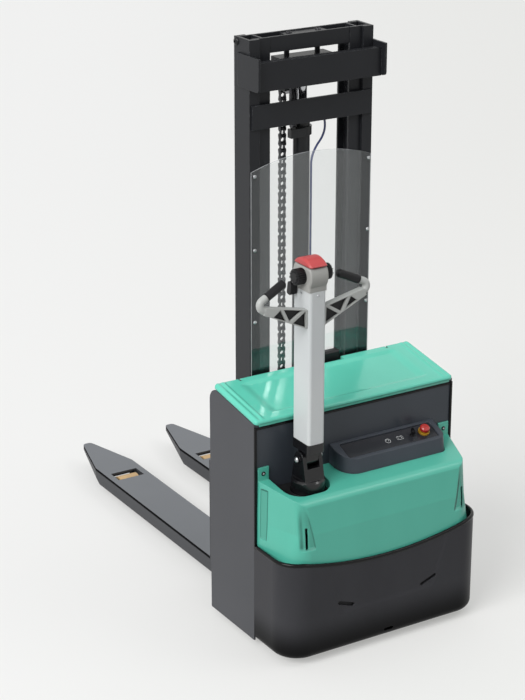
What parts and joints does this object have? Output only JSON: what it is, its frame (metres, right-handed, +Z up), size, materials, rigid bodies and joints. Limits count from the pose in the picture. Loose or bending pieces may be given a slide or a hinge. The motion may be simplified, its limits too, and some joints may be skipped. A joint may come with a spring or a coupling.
{
  "type": "pallet truck",
  "caption": "Electric pedestrian stacker: forks over support legs on a chain-lifted two-stage mast, battery chassis with side-mounted steering tiller.",
  "frame": {"origin": "floor level on the truck's centre plane, under the seam between the side panels and the bumper", "axes": "+Z up, +Y along the forks away from the operator, +X to the operator's right"},
  "size_m": [0.8499, 1.879, 2.011],
  "materials": {
    "frame_paint": "satin dark grey powder coat",
    "panel_paint": "satin grey powder coat",
    "bulkhead_paint": "satin blue-grey powder coat",
    "bumper_plastic": "moulded, fine grain",
    "cover_plastic": "moulded sea-green",
    "console_plastic": "moulded, fine grain",
    "black_plastic": "fine grain",
    "yellow_plastic": "gloss",
    "red_plastic": "gloss",
    "head_plastic": "moulded light grey",
    "handle_metal": "cast, painted light grey",
    "tube_paint": "satin light grey",
    "mast_paint": "satin black",
    "fork_paint": "worn grey",
    "steel": "machined",
    "chain_steel": "oiled",
    "cast": "cast and painted",
    "tyre": "rubber",
    "roller": "tan polyurethane",
    "rubber": "soft black",
    "shield_clear": "clear plastic sheet",
    "tube_blue": "plastic-sleeved",
    "battery_case": "moulded case"
  },
  "bodies": {
    "chassis": {"chassis_frame": "frame_paint", "side_panel_left": "panel_paint", "side_panel_right": "panel_paint", "bulkhead_panel": "bulkhead_paint", "front_cover": "cover_plastic", "bumper": "bumper_plastic", "tiller_well": "rubber", "console": "console_plastic", "console_faceplate": "black_plastic", "estop_collar": "yellow_plastic", "battery": "battery_case", "power_pack": "cast", "motor_controller": "handle_metal", "support_leg_left": "mast_paint", "support_leg_right": "mast_paint", "outer_channel_left": "mast_paint", "outer_channel_right": "mast_paint", "mast_top_tie": "mast_paint", "mast_tie_plate": "mast_paint", "mast_foot": "mast_paint", "cylinder_barrel": "mast_paint", "leak_off_tube": "tube_blue", "shield": "shield_clear", "chain_front_strand": "chain_steel", "slew_ring": "steel", "hose_guard": "black_plastic"},
    "battery_lid": {"battery_lid": "cover_plastic"},
    "inner_mast": {"inner_channel_left": "mast_paint", "inner_channel_right": "mast_paint", "inner_ties": "mast_paint", "piston_rod": "steel", "rod_head": "mast_paint", "chain_over_wheel": "chain_steel"},
    "chain_wheel": {"chain_wheel": "steel"},
    "outer_rollers": {"outer_mast_rollers": "steel"},
    "inner_rollers": {"inner_mast_rollers": "steel"},
    "carriage": {"carriage_frame": "mast_paint", "fork_left": "fork_paint", "fork_right": "fork_paint", "chain_rear_strand": "chain_steel"},
    "carriage_rollers_upper": {"carriage_rollers_upper": "steel"},
    "carriage_rollers_lower": {"carriage_rollers_lower": "steel"},
    "drive_unit": {"drive_motor": "cast", "drive_gearbox": "cast", "tiller_base": "cast"},
    "drive_wheel": {"drive_wheel": "tyre"},
    "tiller": {"tiller_tube": "tube_paint", "tiller_socket": "cast", "tiller_head": "head_plastic", "tiller_handles": "handle_metal", "tiller_grips": "rubber"},
    "thumb_wheels": {"thumb_wheels": "black_plastic"},
    "belly_button": {"belly_button": "red_plastic"},
    "lift_rockers": {"lift_rockers": "black_plastic"},
    "caster_fork": {"caster_fork": "steel"},
    "caster_wheel": {"caster_wheel": "roller"},
    "load_roller_left": {"load_roller_left": "roller"},
    "load_roller_right": {"load_roller_right": "roller"},
    "estop_button": {"estop_button": "red_plastic"},
    "ignition_key": {"ignition_key": "steel"}
  },
  "joints": [
    {"name": "mast_lift", "type": "slide", "parent": "chassis", "child": "inner_mast", "axis": [0, 0, 1], "range_m": [0, 1.397], "deforming": ["chain_front_strand"]},
    {"name": "carriage_lift", "type": "slide", "parent": "inner_mast", "child": "carriage", "axis": [0, 0, 1], "range_m": [0, 1.397], "deforming": ["chain_rear_strand"]},
    {"name": "chain_wheel_spin", "type": "hinge", "parent": "inner_mast", "child": "chain_wheel", "pos_m": [-0.055, 0.35, 1.83], "axis": [1, 0, 0], "range_deg": [-10, 2485]},
    {"name": "outer_roller_spin", "type": "hinge", "parent": "chassis", "child": "outer_rollers", "pos_m": [0, 0.335, 1.95], "axis": [1, 0, 0], "range_deg": [-2900, 10]},
    {"name": "inner_roller_spin", "type": "hinge", "parent": "inner_mast", "child": "inner_rollers", "pos_m": [0, 0.335, 0.146], "axis": [1, 0, 0], "range_deg": [-10, 2191]},
    {"name": "carriage_upper_roller_spin", "type": "hinge", "parent": "carriage", "child": "carriage_rollers_upper", "pos_m": [0, 0.335, 0.496], "axis": [1, 0, 0], "range_deg": [-2900, 10]},
    {"name": "carriage_lower_roller_spin", "type": "hinge", "parent": "carriage", "child": "carriage_rollers_lower", "pos_m": [0, 0.335, 0.15], "axis": [1, 0, 0], "range_deg": [-10, 2900]},
    {"name": "steer", "type": "hinge", "parent": "chassis", "child": "drive_unit", "pos_m": [-0.236, -0.075, 0.33], "axis": [0, 0, 1], "range_deg": [-85, 85]},
    {"name": "drive_wheel_spin", "type": "hinge", "parent": "drive_unit", "child": "drive_wheel", "pos_m": [-0.236, -0.075, 0.115], "axis": [1, 0, 0], "continuous": true},
    {"name": "tiller_tilt", "type": "hinge", "parent": "drive_unit", "child": "tiller", "pos_m": [-0.236, -0.075, 0.694], "axis": [1, 0, 0], "range_deg": [0, 62], "stiffness_Nm_per_rad": 45, "springref_deg": -20.05},
    {"name": "throttle", "type": "hinge", "parent": "tiller", "child": "thumb_wheels", "pos_m": [-0.236, -0.084, 1.331], "axis": [1, 0, 0], "range_deg": [-35, 35], "stiffness_Nm_per_rad": 0.6},
    {"name": "belly_press", "type": "slide", "parent": "tiller", "child": "belly_button", "axis": [0, 0, -1], "range_m": [0, 0.004], "stiffness_N_per_m": 800, "springref_m": -0.004},
    {"name": "lift_rocker_tilt", "type": "hinge", "parent": "tiller", "child": "lift_rockers", "pos_m": [-0.236, -0.045, 1.294], "axis": [1, 0, 0], "range_deg": [-12, 12], "stiffness_Nm_per_rad": 0.6},
    {"name": "estop_press", "type": "slide", "parent": "chassis", "child": "estop_button", "axis": [0, 0.3696, -0.9292], "range_m": [0, 0.005]},
    {"name": "key_turn", "type": "hinge", "parent": "chassis", "child": "ignition_key", "pos_m": [0.206, -0.044, 0.6655], "axis": [0, -0.3696, 0.9292], "range_deg": [0, 90]},
    {"name": "lid_hinge", "type": "hinge", "parent": "chassis", "child": "battery_lid", "pos_m": [0, 0.256, 0.86305], "axis": [-1, 0, 0], "range_deg": [0, 75]},
    {"name": "caster_swivel", "type": "hinge", "parent": "chassis", "child": "caster_fork", "pos_m": [0.24, -0.08, 0.33], "axis": [0, 0, 1], "continuous": true},
    {"name": "caster_spin", "type": "hinge", "parent": "caster_fork", "child": "caster_wheel", "pos_m": [0.24, -0.054, 0.065], "axis": [1, 0, 0], "continuous": true},
    {"name": "load_roller_left_spin", "type": "hinge", "parent": "chassis", "child": "load_roller_left", "pos_m": [-0.192, 1.31, 0.041], "axis": [1, 0, 0], "continuous": true},
    {"name": "load_roller_right_spin", "type": "hinge", "parent": "chassis", "child": "load_roller_right", "pos_m": [0.192, 1.31, 0.041], "axis": [1, 0, 0], "continuous": true}
  ],
  "couplings": [
    {"joint": "carriage_lift", "follows": "mast_lift", "ratio": 1},
    {"joint": "chain_wheel_spin", "follows": "mast_lift", "rad_per_m": 30.921},
    {"joint": "outer_roller_spin", "follows": "mast_lift", "rad_per_m": -36.101},
    {"joint": "inner_roller_spin", "follows": "mast_lift", "rad_per_m": 27.248},
    {"joint": "carriage_upper_roller_spin", "follows": "mast_lift", "rad_per_m": -36.101},
    {"joint": "carriage_lower_roller_spin", "follows": "mast_lift", "rad_per_m": 36.101}
  ]
}
